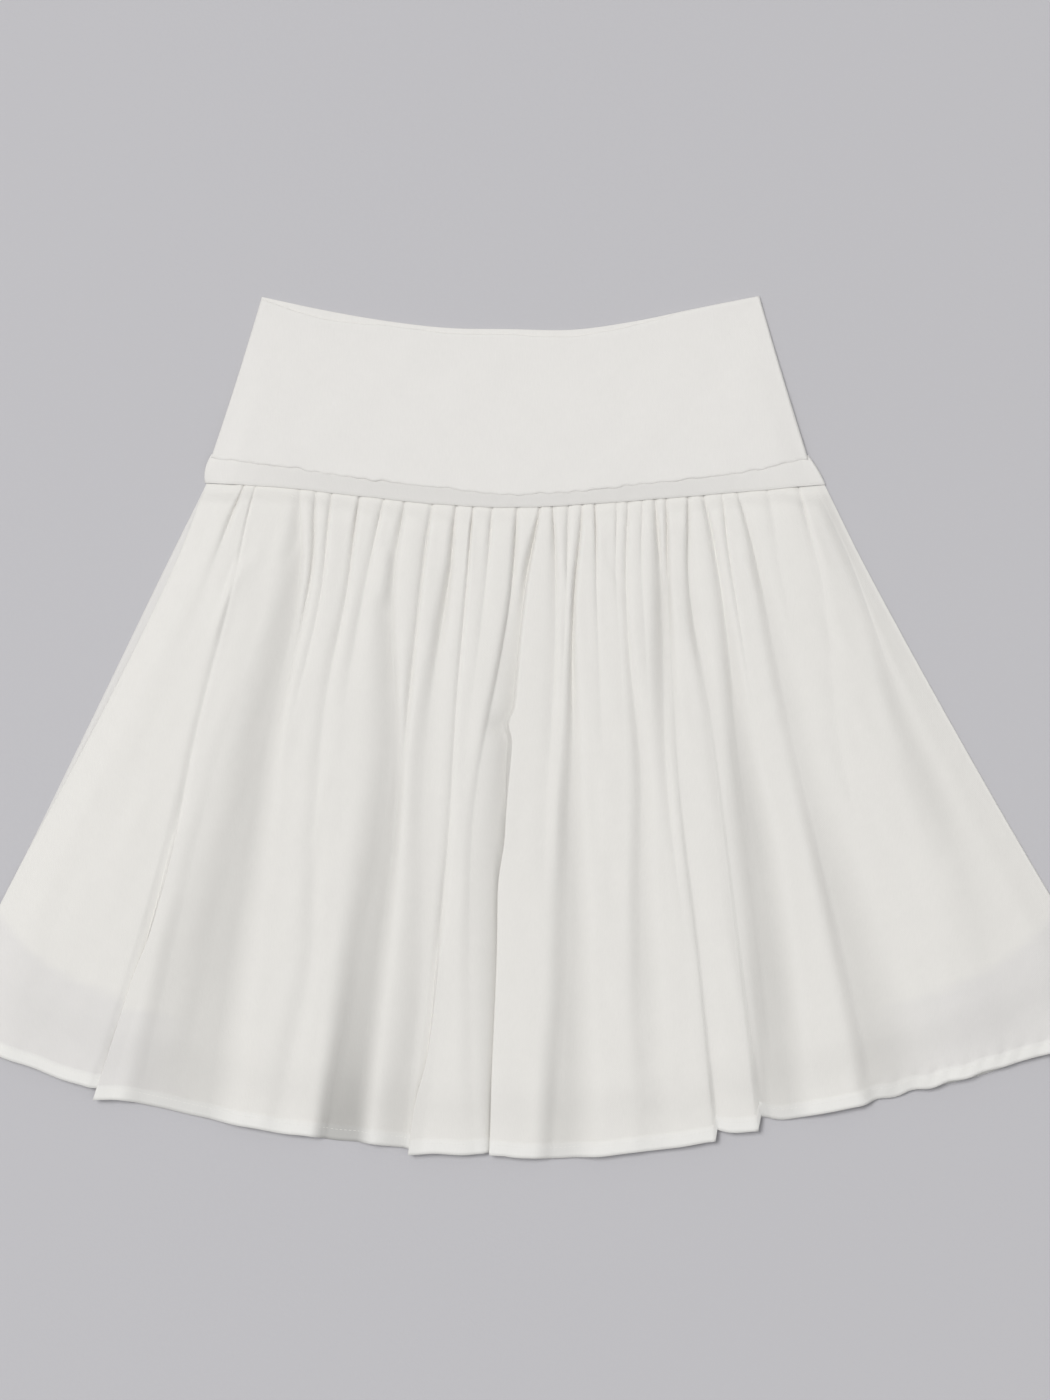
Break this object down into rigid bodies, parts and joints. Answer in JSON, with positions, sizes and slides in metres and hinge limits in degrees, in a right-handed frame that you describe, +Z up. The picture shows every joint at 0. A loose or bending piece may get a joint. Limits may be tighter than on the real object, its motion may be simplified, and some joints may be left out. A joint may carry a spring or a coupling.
{
  "type": "a-line skirt",
  "caption": "White A-line skirt laid flat: deep fitted yoke, narrow band at the dropped seam, gathered flared skirt with a lining inside.",
  "frame": {"origin": "on the surface the skirt lies on, under the middle of its outline", "axes": "+Z up out of the surface, +X towards the right of the garment as laid, +Y from the hem towards the waist"},
  "size_m": [0.8204, 0.5922, 0.012],
  "materials": {
    "yoke_cloth": "matte",
    "band_cloth": "matte",
    "skirt_cloth": "matte",
    "lining_cloth": "matte"
  },
  "bodies": {
    "root": {"yoke_front": "yoke_cloth", "yoke_back": "yoke_cloth", "band_front": "band_cloth", "band_back": "band_cloth", "skirt_front": "skirt_cloth", "skirt_back": "skirt_cloth", "lining_front": "lining_cloth", "lining_back": "lining_cloth"}
  },
  "joints": []
}
